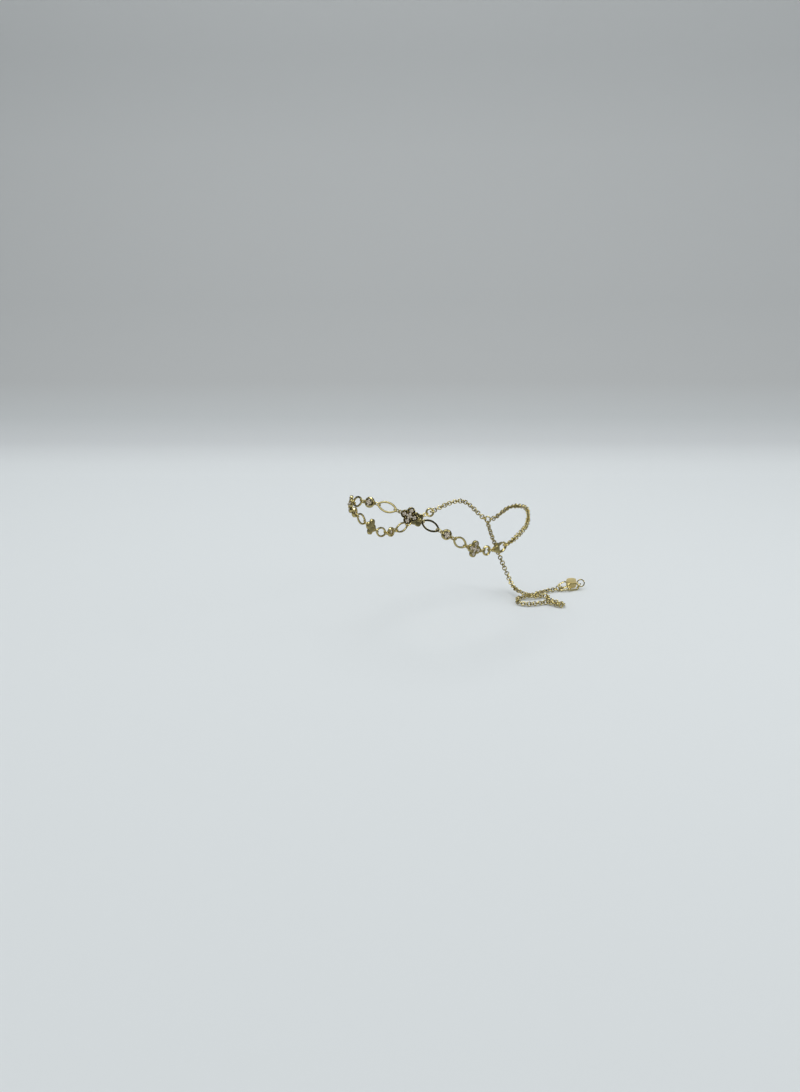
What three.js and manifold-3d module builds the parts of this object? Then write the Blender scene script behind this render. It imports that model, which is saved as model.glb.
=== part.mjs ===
// A gold anklet of clovers, almond frames and round stones, with a lobster clasp, a fine
// chain round the back and a loose end, in the form it has on a left ankle.
// Millimetres, +Z up, the toes towards -Y and the outer side of the ankle towards +X.
// The origin is the point where the ankle's axis crosses the middle of the loop.
import * as THREE from "three";
import { mergeVertices } from "three/addons/utils/BufferGeometryUtils.js";
import Module from "manifold-3d";

const wasm = await Module();
wasm.setup();

// The loop round the ankle: bearing from the toes towards the outer side in degrees, distance
// from the ankle's axis, and height.
const LOOP_STATIONS = [
  { bearing: 0, reach: 46.4, rise: 21.2 },
  { bearing: 22, reach: 42.2, rise: 16.6 },
  { bearing: 44, reach: 38.0, rise: 7.6 },
  { bearing: 67, reach: 31.6, rise: -1.6 },
  { bearing: 90, reach: 31.0, rise: -4.2 },
  { bearing: 106, reach: 32.9, rise: -3.6 },
  { bearing: 124, reach: 36.2, rise: -2.0 },
  { bearing: 142, reach: 42.0, rise: 0.0 },
  { bearing: 158, reach: 47.2, rise: 3.4 },
  { bearing: 174, reach: 49.0, rise: 0.8 },
  { bearing: 189, reach: 49.4, rise: -7.6 },
  { bearing: 204, reach: 46.6, rise: 1.0 },
  { bearing: 224, reach: 40.6, rise: -3.6 },
  { bearing: 247, reach: 34.5, rise: -8.0 },
  { bearing: 270, reach: 31.0, rise: -8.0 },
  { bearing: 293, reach: 31.6, rise: -2.2 },
  { bearing: 316, reach: 37.6, rise: 8.4 },
  { bearing: 338, reach: 43.6, rise: 16.6 },
];
const LOOP_SAMPLES = 3600;
const STRETCH_SPACING = 20;
const ROW_MIDDLE_BEARING = -22.3;
const JUNCTION_BEARING = 189;
const INSTEP_LEAN = 0.3; // how far the pieces on the instep tip their faces upwards

// The sizes of the pieces in the row. A hold is the distance from a piece's middle to the
// point where the connector's wire passes through it, and steps and sides are those of its mesh.
const ALMOND = { length: 8.7, width: 4.7, wire: 0.375, tip: 0.6, hold: 2.975, steps: 26, sides: 6 };
const CONNECTOR = { length: 3.08, width: 2.3, wire: 0.19, roll: 54, steps: 14, sides: 5 };
const CLOVER = { petal: 1.65, offset: 2.05, depth: 1.2, core: 1.3, coreDepth: 1.1, hold: 4.2 };
const CLOVER_EYELET = { radius: 0.64, wire: 0.22, around: 10, sides: 5 };
const BEZEL = { outer: 2.3, depth: 1.6, lip: 0.3, lipFace: 0.2, seatTop: 0.75, seatFoot: 0.95, hold: 2.75 };
const BEZEL_EYELET = { radius: 0.56, wire: 0.2, around: 10, sides: 5 };
const PETAL_STONE = { girdle: 0.85, table: 0.5, crown: 0.34, base: 0.5, offset: 2.25 };
const MIDDLE_STONE = { girdle: 1.25, table: 0.7, crown: 0.42, base: 0.5 };
const ROUND_STONE = { girdle: 1.65, table: 0.95, crown: 0.5, pavilion: 0.95, edge: 0.12, base: 0.3 };
const STONE_SIDES = 8;
const CORE_SIDES = 8;
const PETAL_SIDES = 12;
const BEZEL_SIDES = 16;
const STONE_GAP = 0.12;
const SEAT_LEDGE = 0.35;
const ROW_SIDE = ["marquise", "bezel", "marquise", "clover", "marquise", "bezel", "marquise", "clover"];

// The rings, the clasp and the fine chain.
const END_RING = { radius: 1.85, wire: 0.45, hold: 1.13, reach: 1.12, around: 16 };
const JUMP_RING = { radius: 1.4, wire: 0.25 };
const CLASP = { depth: 1.75, slot: 1.24, bevel: 0.17, pin: 0.3, pinLength: 1.5, hold: 7.37 };
const CLASP_EYELET = { radius: 0.7, wire: 0.29, around: 12 };
const CLASP_BASE = [
  { x: 0.64, y: -0.55 },
  { x: 1.29, y: -1.5 },
  { x: 3.63, y: -2.3 },
  { x: 3.63, y: 1.55 },
  { x: 1.75, y: 1.55 },
  { x: 0.64, y: 0.55 },
];
const CLASP_SLOT = { left: 1.4, right: 5.4, bottom: 0.18, top: 3.9 };
const HOOK = { x: 5.38, length: 3.04, height: 2.05, wire: 0.64, start: -0.78, end: 0.36, steps: 14 };
const HOOK_SIDES = 8;
const PIN_SIDES = 8;
const HOLE_SIDES = 10;
const LEVER = { pivotX: 2.75, pivotY: 1.11, hole: 0.47, depth: 0.94 };
const LEVER_OUTLINE = [
  { x: 2.05, y: 0.73 },
  { x: 3.22, y: 0.53 },
  { x: 6.03, y: 1.52 },
  { x: 6.08, y: 2.34 },
  { x: 3.63, y: 2.05 },
  { x: 2.69, y: 2.75 },
  { x: 1.75, y: 2.69 },
  { x: 1.7, y: 1.87 },
];
const CHAIN_RING = { radius: 1.0, wire: 0.22 };
const BACK_RING = { radius: 1.45, wire: 0.35 };
const CHAIN_DIAMETER = 1.9;
const CHAIN_SIDES = 8;
const RING_STEPS = 14;
const RING_SIDES = 6;
const GAP = 0.2;

// The loose end: it hangs from the back ring behind the heel and lies folded below.
const FLOOR = -43.9;
const LYING = FLOOR + CHAIN_DIAMETER / 2;
const TAIL_ROUTE = [
  { x: -7.7, y: 48.9, z: -9.7 },
  { x: -7.3, y: 51.6, z: -16.0 },
  { x: -6.0, y: 54.2, z: -23.0 },
  { x: -3.6, y: 55.8, z: -30.0 },
  { x: 0.2, y: 55.2, z: -35.6 },
  { x: 4.8, y: 52.8, z: -39.2 },
  { x: 9.4, y: 50.2, z: -40.2 },
  { x: 13.0, y: 49.6, z: -40.6 },
  { x: 16.2, y: 51.2, z: -41.7 },
  { x: 18.2, y: 54.4, z: LYING },
  { x: 19.8, y: 57.6, z: LYING },
  { x: 22.2, y: 58.2, z: LYING },
  { x: 23.6, y: 55.6, z: LYING },
  { x: 26.4, y: 53.9, z: LYING },
  { x: 30.4, y: 53.7, z: LYING },
  { x: 33.8, y: 53.4, z: LYING },
  { x: 34.9, y: 51.6, z: LYING },
  { x: 33.2, y: 50.4, z: LYING },
  { x: 29.6, y: 51.0, z: LYING },
  { x: 26.4, y: 50.2, z: LYING },
  { x: 24.6, y: 47.4, z: LYING },
  { x: 23.0, y: 44.4, z: LYING },
  { x: 20.4, y: 42.0, z: LYING },
  { x: 17.0, y: 41.6, z: LYING },
  { x: 14.2, y: 43.6, z: LYING },
  { x: 13.0, y: 47.2, z: LYING },
  { x: 13.6, y: 51.2, z: LYING },
  { x: 15.2, y: 55.2, z: LYING },
  { x: 15.9, y: 59.6, z: LYING },
  { x: 17.0, y: 64.8, z: LYING },
  { x: 19.1, y: 69.1, z: LYING },
];
const TAIL_STEPS = 56;
const LOOP_CHAIN_STEPS = 22;
const INNER_CHAIN_STEPS = 8;

// The pieces at the loose end: middle, heading from +X in degrees, rise of the far end, and
// lean from lying flat.
const END_LINK = { length: 6.4, width: 3.8, wire: 0.35, steps: 18, sides: 6 };
const TAIL_RING = { radius: 1.4, wire: 0.25 };
const TAG_LINK = { radius: 1.42, wire: 0.2, turn: 50, forward: 0.87 };
const TAG_RING = { radius: 1.75, wire: 0.28 };
const TAG = { size: 5.2, depth: 0.9, bulge: 0.42, curveSteps: 5 };
const TAG_EYELET = { radius: 0.62, wire: 0.22, x: 2.95, around: 10, sides: 5 };
const END_PLACES = {
  tail_ring: { x: 20.2, y: 70.8, z: -42.22, heading: 57, rise: 0, lean: 90 },
  end_link_1: { x: 22.2, y: 73.3, z: -42.72, heading: 48, rise: 5, lean: 8 },
  end_link_2: { x: 24.8, y: 76.85, z: -42.13, heading: 60, rise: 0, lean: 62 },
  end_link_3: { x: 20.9, y: 73.8, z: -41.35, heading: 76, rise: 12, lean: 30 },
  tag: { x: 22.5, y: 78.45, z: -41.1, heading: 40, rise: 0, lean: 74 },
};

const GOLD = { color: 0xd9b566, roughness: 0.22, metalness: 1.0 };
const SATIN_GOLD = { color: 0xd3b268, roughness: 0.5, metalness: 1.0 };
const STONE = { color: 0xf1e4e2, roughness: 0.03, metalness: 0.0 };

const anklet = new THREE.Group();

function addPiece(name, geometry, finish) {
  const mesh = new THREE.Mesh(geometry, new THREE.MeshStandardMaterial(finish));
  mesh.name = name;
  anklet.add(mesh);
  return mesh;
}

// Solids: joining and cutting.
function solidOf(geometry) {
  const loose = geometry.index ? geometry.toNonIndexed() : geometry.clone();
  loose.deleteAttribute("normal");
  loose.deleteAttribute("uv");
  const merged = mergeVertices(loose, 1e-4);
  return new wasm.Manifold(
    new wasm.Mesh({
      numProp: 3,
      vertProperties: merged.attributes.position.array,
      triVerts: new Uint32Array(merged.index.array),
    }),
  );
}

function geometryOf(solid) {
  const mesh = solid.getMesh();
  const geometry = new THREE.BufferGeometry();
  geometry.setAttribute("position", new THREE.BufferAttribute(mesh.vertProperties, 3));
  geometry.setIndex(new THREE.BufferAttribute(mesh.triVerts, 1));
  return geometry;
}

function joined(...geometries) {
  let solid = solidOf(geometries[0]);
  for (const geometry of geometries.slice(1)) {
    solid = solid.add(solidOf(geometry));
  }
  return geometryOf(solid);
}

function cut(body, ...tools) {
  let solid = solidOf(body);
  for (const tool of tools) {
    solid = solid.subtract(solidOf(tool));
  }
  return geometryOf(solid);
}

// Basic shapes. A piece's own frame has x along the chain, y up and z away from the ankle.
class FlatWire extends THREE.Curve {
  constructor(outline) {
    super();
    this.outline = outline;
  }

  getPoint(share, target = new THREE.Vector3()) {
    const point = this.outline.getPoint(share);
    return target.set(point.x, point.y, 0);
  }
}

function closedWire(outline, { wire, steps, sides }) {
  return new THREE.TubeGeometry(new FlatWire(outline), steps, wire, sides, true);
}

function ovalOutline({ length, width, wire }) {
  const end = width / 2 - wire;
  const middle = length / 2 - wire - end;
  const outline = new THREE.Path();
  outline.absarc(middle, 0, end, -Math.PI / 2, Math.PI / 2);
  outline.absarc(-middle, 0, end, Math.PI / 2, (3 * Math.PI) / 2);
  outline.closePath();
  return outline;
}

// Two long arcs that meet in small rounded tips.
function almondOutline() {
  const halfLength = ALMOND.length / 2 - ALMOND.wire;
  const halfWidth = ALMOND.width / 2 - ALMOND.wire;
  const tipX = halfLength - ALMOND.tip;
  const sideRadius =
    (tipX ** 2 + halfWidth ** 2 - ALMOND.tip ** 2) / (2 * (halfWidth - ALMOND.tip));
  const sideY = sideRadius - halfWidth;
  const turn = Math.atan2(sideY, tipX);
  const outline = new THREE.Path();
  outline.absarc(tipX, 0, ALMOND.tip, -turn, turn);
  outline.absarc(0, -sideY, sideRadius, turn, Math.PI - turn);
  outline.absarc(-tipX, 0, ALMOND.tip, Math.PI - turn, Math.PI + turn);
  outline.absarc(0, sideY, sideRadius, Math.PI + turn, 2 * Math.PI - turn);
  return outline;
}

function flatRing({ radius, wire, around = RING_STEPS, sides = RING_SIDES }) {
  return new THREE.TorusGeometry(radius, wire, sides, around);
}

// A ring that stands across its piece.
function ringAcross(ring) {
  return flatRing(ring).rotateX(Math.PI / 2);
}

// The small eyelets of a piece, one at each hold.
function eyeletPair(eyelet, hold) {
  return [-1, 1].map((side) => flatRing(eyelet).translate(side * hold, 0, 0));
}

// A solid round bar along a line.
function roundBar(line, radius, sides, steps) {
  const corners = Array.from({ length: sides }, (_, side) => {
    const turn = (2 * Math.PI * side) / sides;
    return new THREE.Vector2(radius * Math.cos(turn), radius * Math.sin(turn));
  });
  return new THREE.ExtrudeGeometry(new THREE.Shape(corners), { extrudePath: line, steps });
}

// A closed turned shape about z, from pairs of radius and height.
function turned(profile, sides) {
  const points = profile.map(([radius, height]) => new THREE.Vector2(radius, height));
  return new THREE.LatheGeometry(points, sides).rotateX(Math.PI / 2);
}

function disc(radius, depth, sides) {
  return new THREE.CylinderGeometry(radius, radius, depth, sides).rotateX(Math.PI / 2);
}

function cutStoneTop({ girdle, table, crown, base }) {
  return turned(
    [
      [0, base],
      [girdle, base],
      [table, base + crown],
      [0, base + crown],
    ],
    STONE_SIDES,
  );
}

// A plate from an outline, with its middle plane at z = 0.
function plateOf(outline, depth, options = {}) {
  const shape = outline instanceof THREE.Shape ? outline : new THREE.Shape(outline);
  const bevel = options.bevel ?? 0;
  return new THREE.ExtrudeGeometry(shape, {
    depth: depth - 2 * bevel,
    bevelEnabled: bevel > 0,
    bevelSize: bevel,
    bevelThickness: bevel,
    bevelOffset: -bevel,
    bevelSegments: 1,
    curveSegments: options.curveSteps ?? 1,
  }).translate(0, 0, bevel - depth / 2);
}

function outlineOf(table) {
  return table.map(({ x, y }) => new THREE.Vector2(x, y));
}

// The pieces of the row.
function cloverSetting() {
  const parts = [disc(CLOVER.core, CLOVER.coreDepth, CORE_SIDES), cutStoneTop(MIDDLE_STONE)];
  for (const quarter of [0, 1, 2, 3]) {
    const turn = (quarter * Math.PI) / 2;
    const away = (distance) => [distance * Math.cos(turn), distance * Math.sin(turn), 0];
    parts.push(disc(CLOVER.petal, CLOVER.depth, PETAL_SIDES).translate(...away(CLOVER.offset)));
    parts.push(cutStoneTop(PETAL_STONE).translate(...away(PETAL_STONE.offset)));
  }
  return joined(...parts, ...eyeletPair(CLOVER_EYELET, CLOVER.hold));
}

function roundBezel() {
  const top = BEZEL.depth / 2;
  const lipInner = ROUND_STONE.girdle - STONE_GAP;
  const inner = ROUND_STONE.girdle + STONE_GAP;
  const hole = ROUND_STONE.girdle - SEAT_LEDGE;
  const wall = turned(
    [
      [BEZEL.outer, -top],
      [BEZEL.outer, top - BEZEL.lip],
      [lipInner + BEZEL.lipFace, top],
      [lipInner, top],
      [lipInner, top - BEZEL.lip],
      [inner, top - BEZEL.lip],
      [inner, top - BEZEL.seatTop],
      [hole, top - BEZEL.seatFoot],
      [hole, -top],
      [BEZEL.outer, -top],
    ],
    BEZEL_SIDES,
  );
  return joined(wall, ...eyeletPair(BEZEL_EYELET, BEZEL.hold));
}

function roundStone() {
  const { girdle, table, crown, pavilion, edge, base } = ROUND_STONE;
  return turned(
    [
      [0, base - pavilion],
      [girdle, base - edge / 2],
      [girdle, base],
      [table, base + crown],
      [0, base + crown],
    ],
    STONE_SIDES,
  );
}

// The clasp: an eyelet, a slotted base with a pin, and a hook that comes back over the top.
function claspBody() {
  const block = plateOf(outlineOf(CLASP_BASE), CLASP.depth, { bevel: CLASP.bevel });
  const { left, right, bottom, top } = CLASP_SLOT;
  const slot = new THREE.BoxGeometry(right - left, top - bottom, CLASP.slot);
  slot.translate((left + right) / 2, (bottom + top) / 2, 0);
  const hookPath = new THREE.Path();
  const [start, end] = [HOOK.start * Math.PI, HOOK.end * Math.PI];
  hookPath.absellipse(HOOK.x, 0, HOOK.length, HOOK.height, start, end);
  const hook = roundBar(new FlatWire(hookPath), HOOK.wire, HOOK_SIDES, HOOK.steps);
  const pin = disc(CLASP.pin, CLASP.pinLength, PIN_SIDES).translate(LEVER.pivotX, LEVER.pivotY, 0);
  return joined(cut(block, slot), hook, pin, flatRing(CLASP_EYELET));
}

// The clasp's lever: a thumb piece behind its pin, and a tongue that closes the hook.
function claspLever() {
  const hole = disc(LEVER.hole, 2 * LEVER.depth, HOLE_SIDES).translate(LEVER.pivotX, LEVER.pivotY, 0);
  return cut(plateOf(outlineOf(LEVER_OUTLINE), LEVER.depth), hole);
}

// The tag: a square with softly bowed sides, and an eyelet that stands across its edge.
function bareTag() {
  const half = TAG.size / 2 - TAG.bulge;
  const bow = TAG.size / 2 + TAG.bulge;
  const outline = new THREE.Shape();
  outline.moveTo(-half, -half);
  outline.quadraticCurveTo(0, -bow, half, -half);
  outline.quadraticCurveTo(bow, 0, half, half);
  outline.quadraticCurveTo(0, bow, -half, half);
  outline.quadraticCurveTo(-bow, 0, -half, -half);
  const plate = plateOf(outline, TAG.depth, { curveSteps: TAG.curveSteps });
  return joined(plate, ringAcross(TAG_EYELET).translate(TAG_EYELET.x, 0, 0));
}

// The loop as a dense closed line, and a walk along it from one holding point to the next.
const stations = LOOP_STATIONS.map(({ bearing, reach, rise }) => {
  const turn = THREE.MathUtils.degToRad(bearing);
  return new THREE.Vector3(reach * Math.sin(turn), -reach * Math.cos(turn), rise);
});
const loopCurve = new THREE.CatmullRomCurve3(stations, true, "catmullrom", 0.5);
const loopLine = loopCurve.getPoints(LOOP_SAMPLES).slice(0, LOOP_SAMPLES);

function linePoint(index) {
  return loopLine[((index % LOOP_SAMPLES) + LOOP_SAMPLES) % LOOP_SAMPLES];
}

function indexAtBearing(bearing) {
  const turn = THREE.MathUtils.degToRad(bearing);
  const side = new THREE.Vector3(Math.cos(turn), Math.sin(turn), 0);
  const ahead = new THREE.Vector3(Math.sin(turn), -Math.cos(turn), 0);
  let index = 0;
  while (linePoint(index).dot(side) >= 0 || linePoint(index).dot(ahead) <= 0) {
    index += 1;
  }
  while (linePoint(index).dot(side) < 0) {
    index += 1;
  }
  return index;
}

function walkFrom(index, start, distance, direction) {
  let next = index;
  while (linePoint(next).distanceTo(start) < distance) {
    next += direction;
  }
  const before = linePoint(next - direction);
  const after = linePoint(next);
  const near = before.distanceTo(start);
  const share = (distance - near) / (after.distanceTo(start) - near);
  return { index: next, point: before.clone().lerp(after, share) };
}

// A piece's frame between two holding points.
function frameBetween(from, to) {
  const middle = from.clone().add(to).multiplyScalar(0.5);
  const along = to.clone().sub(from).normalize();
  const level = Math.hypot(middle.x, middle.y);
  const lean = INSTEP_LEAN * Math.max(0, -middle.y / level);
  const outward = new THREE.Vector3(middle.x / level, middle.y / level, lean);
  outward.addScaledVector(along, -outward.dot(along)).normalize();
  return { middle, along, outward };
}

function place(mesh, frame, roll = 0) {
  const up = frame.outward.clone().cross(frame.along);
  const basis = new THREE.Matrix4().makeBasis(frame.along, up, frame.outward);
  mesh.quaternion.setFromRotationMatrix(basis);
  mesh.position.copy(frame.middle);
  mesh.rotateX(roll);
}

// Puts a piece of a given length between holding points, from one point of the loop.
function setAlong(mesh, from, length, direction, roll = 0) {
  const to = walkFrom(from.index, from.point, length, direction);
  const [first, second] = direction > 0 ? [from, to] : [to, from];
  const frame = frameBetween(first.point, second.point);
  place(mesh, frame, roll);
  return { ...to, frame };
}

const HOLDS = { clover: CLOVER.hold, marquise: ALMOND.hold, bezel: BEZEL.hold };
const SHAPES = {
  clover: cloverSetting(),
  marquise: closedWire(almondOutline(), ALMOND),
  bezel: roundBezel(),
  connector: closedWire(ovalOutline(CONNECTOR), CONNECTOR),
};
const stoneShape = roundStone();
const connectorPitch = CONNECTOR.length - 2 * CONNECTOR.wire;
const connectorRoll = THREE.MathUtils.degToRad(CONNECTOR.roll);
const counts = { clover: 0, marquise: 0, bezel: 0, connector: 0 };

function addRowPiece(kind) {
  counts[kind] += 1;
  return addPiece(`${kind}_${counts[kind]}`, SHAPES[kind], GOLD);
}

function addStone(bezel) {
  const stone = addPiece(`round_stone_${counts.bezel}`, stoneShape, STONE);
  stone.position.copy(bezel.position);
  stone.quaternion.copy(bezel.quaternion);
}

// The row: the middle clover, then the same pieces outwards along both sides.
const middleIndex = indexAtBearing(ROW_MIDDLE_BEARING);
const middlePoint = { index: middleIndex, point: linePoint(middleIndex) };
const middleEnds = [-1, 1].map((direction) =>
  walkFrom(middlePoint.index, middlePoint.point, CLOVER.hold, direction),
);
place(addRowPiece("clover"), frameBetween(middleEnds[0].point, middleEnds[1].point));

function addRowSide(start, direction) {
  let at = start;
  for (const kind of ROW_SIDE) {
    at = setAlong(addRowPiece("connector"), at, connectorPitch, direction, connectorRoll);
    const piece = addRowPiece(kind);
    at = setAlong(piece, at, 2 * HOLDS[kind], direction);
    if (kind === "bezel") {
      addStone(piece);
    }
  }
  return setAlong(addRowPiece("connector"), at, connectorPitch, direction, connectorRoll);
}

const innerEnd = addRowSide(middleEnds[0], -1);
const outerEnd = addRowSide(middleEnds[1], 1);

// The thick rings at the row's two ends.
const endRingShape = flatRing(END_RING);
const ringSpan = END_RING.hold + END_RING.reach;
const innerRing = setAlong(addPiece("inner_ring", endRingShape, GOLD), innerEnd, ringSpan, -1);
const outerRing = setAlong(addPiece("outer_ring", endRingShape, GOLD), outerEnd, ringSpan, 1);

// The clasp and the small rings before and after it stand across the pieces they join.
const jumpRing = addPiece("jump_ring", ringAcross(JUMP_RING), GOLD);
const claspStart = setAlong(jumpRing, outerRing, 2 * JUMP_RING.radius, 1);
const claspEnd = walkFrom(claspStart.index, claspStart.point, CLASP.hold, 1);
const claspFrame = frameBetween(claspStart.point, claspEnd.point);
claspFrame.middle = claspStart.point;
place(addPiece("clasp_body", claspBody(), GOLD), claspFrame);
place(addPiece("clasp_lever", claspLever(), GOLD), claspFrame);
const chainRing = addPiece("chain_ring", ringAcross(CHAIN_RING), GOLD);
const chainStart = setAlong(chainRing, claspEnd, 2 * CHAIN_RING.radius, 1);

// The ring at the back, where the two stretches of chain and the loose end meet.
const junctionIndex = indexAtBearing(JUNCTION_BEARING);
const junctionPoint = linePoint(junctionIndex);
const backEnds = [-1, 1].map((direction) =>
  walkFrom(junctionIndex, junctionPoint, BACK_RING.radius, direction),
);
const backFrame = frameBetween(backEnds[0].point, backEnds[1].point);
backFrame.middle = junctionPoint;
place(addPiece("back_ring", flatRing(BACK_RING), GOLD), backFrame);

// Round chain along a line, as a plain tube.
function chainTube(line, steps) {
  return roundBar(line, CHAIN_DIAMETER / 2, CHAIN_SIDES, steps);
}

function loopStretch(fromIndex, toIndex) {
  const steps = (((toIndex - fromIndex) % LOOP_SAMPLES) + LOOP_SAMPLES) % LOOP_SAMPLES;
  const points = [];
  for (let step = 0; step < steps; step += STRETCH_SPACING) {
    points.push(linePoint(fromIndex + step));
  }
  points.push(linePoint(toIndex));
  return new THREE.CatmullRomCurve3(points);
}

const backClear = BACK_RING.radius + BACK_RING.wire + GAP;
const beforeBack = walkFrom(junctionIndex, junctionPoint, backClear, -1);
const afterBack = walkFrom(junctionIndex, junctionPoint, backClear, 1);
const outerChainStart = walkFrom(chainStart.index, chainStart.point, CHAIN_RING.wire + GAP, 1);
const innerClear = END_RING.radius - END_RING.reach + END_RING.wire + GAP;
const innerChainEnd = walkFrom(innerRing.index, innerRing.point, innerClear, -1);
const outerChain = loopStretch(outerChainStart.index, beforeBack.index);
addPiece("outer_chain", chainTube(outerChain, LOOP_CHAIN_STEPS), GOLD);
const innerChain = loopStretch(afterBack.index, innerChainEnd.index);
addPiece("inner_chain", chainTube(innerChain, INNER_CHAIN_STEPS), GOLD);

// The loose end, its links, its tag and the tag's ring.
const tailPoints = TAIL_ROUTE.map(({ x, y, z }) => new THREE.Vector3(x, y, z));
const tailCurve = new THREE.CatmullRomCurve3(tailPoints, false, "catmullrom", 0.5);
addPiece("tail_chain", chainTube(tailCurve, TAIL_STEPS), GOLD);

function lay(name, geometry, finish, spot = END_PLACES[name]) {
  const mesh = addPiece(name, geometry, finish);
  mesh.position.set(spot.x, spot.y, spot.z);
  mesh.rotateZ(THREE.MathUtils.degToRad(spot.heading));
  mesh.rotateY(THREE.MathUtils.degToRad(-spot.rise));
  mesh.rotateX(THREE.MathUtils.degToRad(spot.lean));
  return mesh;
}

const endLinkShape = closedWire(ovalOutline(END_LINK), END_LINK);
lay("tail_ring", flatRing(TAIL_RING), GOLD);
lay("end_link_1", endLinkShape, GOLD);
lay("end_link_2", endLinkShape, GOLD);
lay("end_link_3", endLinkShape, GOLD);
lay("tag", bareTag(), SATIN_GOLD);
const tagRing = lay("tag_ring", flatRing(TAG_RING), GOLD, END_PLACES.tag);
tagRing.translateX(TAG_EYELET.x + TAG_RING.radius);
const tagLink = lay("tag_link", ringAcross(TAG_LINK), GOLD, END_PLACES.tag);
const linkTurn = THREE.MathUtils.degToRad(TAG_LINK.turn);
tagLink.translateX(TAG_EYELET.x + TAG_RING.radius * (1 - Math.cos(linkTurn)));
tagLink.translateY(-TAG_RING.radius * Math.sin(linkTurn));
tagLink.translateZ(TAG_LINK.forward);
tagLink.rotateZ(linkTurn);

export default anklet;
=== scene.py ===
import math

import bmesh
import bpy
import numpy as np
from mathutils import Matrix, Vector


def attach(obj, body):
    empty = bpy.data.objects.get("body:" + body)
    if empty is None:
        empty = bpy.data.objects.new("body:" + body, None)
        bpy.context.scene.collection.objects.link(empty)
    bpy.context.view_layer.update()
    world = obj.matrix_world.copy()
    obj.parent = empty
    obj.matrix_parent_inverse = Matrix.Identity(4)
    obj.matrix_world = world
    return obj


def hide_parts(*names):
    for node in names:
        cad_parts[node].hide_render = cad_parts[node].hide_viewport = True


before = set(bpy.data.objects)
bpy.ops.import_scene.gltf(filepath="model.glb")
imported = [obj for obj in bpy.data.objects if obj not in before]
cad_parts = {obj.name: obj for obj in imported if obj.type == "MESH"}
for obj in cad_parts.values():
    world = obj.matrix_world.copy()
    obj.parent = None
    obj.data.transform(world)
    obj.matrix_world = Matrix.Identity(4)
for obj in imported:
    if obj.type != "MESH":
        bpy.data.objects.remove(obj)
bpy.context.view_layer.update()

MM = 0.001
FLOOR = -43.9

# Camera: the anklet's origin shows at AIM in the photograph, and one pixel there is SCALE mm.
# The focal length is in pixels too.
AZIMUTH = math.radians(40)
ELEVATION = math.radians(16.5)
FOCAL = 1230
SCALE = 0.45
IMAGE = (800, 1092)
AIM = (438, 528)
SENSOR = 36

back = Vector(
    (
        math.sin(AZIMUTH) * math.cos(ELEVATION),
        -math.cos(AZIMUTH) * math.cos(ELEVATION),
        math.sin(ELEVATION),
    )
)
right = Vector((math.cos(AZIMUTH), math.sin(AZIMUTH), 0))
up = back.cross(right)
target = right * (IMAGE[0] / 2 - AIM[0]) * SCALE + up * (AIM[1] - IMAGE[1] / 2) * SCALE
camera_data = bpy.data.cameras.new("camera")
camera_data.sensor_width = SENSOR
camera_data.lens = SENSOR * FOCAL / IMAGE[1]
camera_data.clip_start = 0.01
camera_data.clip_end = 20
camera = bpy.data.objects.new("camera", camera_data)
camera.rotation_mode = "QUATERNION"
camera.rotation_quaternion = back.to_track_quat("Z", "Y")
camera.location = (target + back * FOCAL * SCALE) * MM
bpy.context.scene.collection.objects.link(camera)
bpy.context.scene.camera = camera

# The loop round the ankle, in mm: bearing from the toes in degrees, distance from the
# ankle's axis, and height.
LOOP_STATIONS = [
    (0, 46.4, 21.2), (22, 42.2, 16.6), (44, 38.0, 7.6), (67, 31.6, -1.6), (90, 31.0, -4.2),
    (106, 32.9, -3.6), (124, 36.2, -2.0), (142, 42.0, 0.0), (158, 47.2, 3.4), (174, 49.0, 0.8),
    (189, 49.4, -7.6), (204, 46.6, 1.0), (224, 40.6, -3.6), (247, 34.5, -8.0), (270, 31.0, -8.0),
    (293, 31.6, -2.2), (316, 37.6, 8.4), (338, 43.6, 16.6),
]
SPAN_SAMPLES = 200
ROW_MIDDLE_BEARING = -22.3
JUNCTION_BEARING = 189
INSTEP_LEAN = 0.3

# The pieces of the row, in mm. A hold is the distance from a piece's middle to its connector,
# and a connector's pitch is the distance between the two pieces that it holds. The almond's wire is
# wide and deep by shares of its size.
ALMOND = {"length": 8.7, "width": 4.7, "wire": 0.375, "tip": 0.6, "hold": 2.975}
ALMOND_WIRE = {"wide": 1.08, "deep": 0.9, "sides": 24, "squareness": 6.0}
CONNECTOR = {"length": 3.08, "width": 2.3, "wire": 0.24, "pitch": 2.7, "roll": math.radians(54)}
CLOVER = {"petal": 1.74, "offset": 1.96, "core": 1.3, "depth": 1.2, "edge": 0.17, "hold": 4.2}
CLOVER_CORE = {"depth": 1.164, "edge": 0.1}
CLOVER_EYELET = {"radius": 0.64, "wire": 0.22}
PRONG = {"radius": 0.27, "height": 0.7, "place": (1.17, 1.17, 0.58)}
SMALL_PRONG = {"radius": 0.15, "height": 0.4, "rise": 0.6, "places": ((2.8, 0.78), (1.75, 0.82))}
BEZEL = {"outer": 2.3, "depth": 1.6, "hole": 1.3, "lap": 0.12, "edge": 0.14, "hold": 2.75}
BEZEL_EYELET = {"radius": 0.56, "wire": 0.2}
PETAL_STONE = {"girdle": 0.85, "table": 0.48, "crown": 0.3, "pavilion": 0.7, "edge": 0.05}
MIDDLE_STONE = {"girdle": 1.25, "table": 0.7, "crown": 0.4, "pavilion": 0.85, "edge": 0.05}
ROUND_STONE = {"girdle": 1.65, "table": 0.95, "crown": 0.5, "pavilion": 0.95, "edge": 0.12}
PETAL_STONE_OFFSET = 2.25
CLOVER_STONE_HEIGHT = 0.5
ROUND_STONE_HEIGHT = 0.3
STONE_CUT = {"kite_out": 0.48, "kite_up": 0.6, "back_out": 0.42, "back_down": 0.6}
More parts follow.
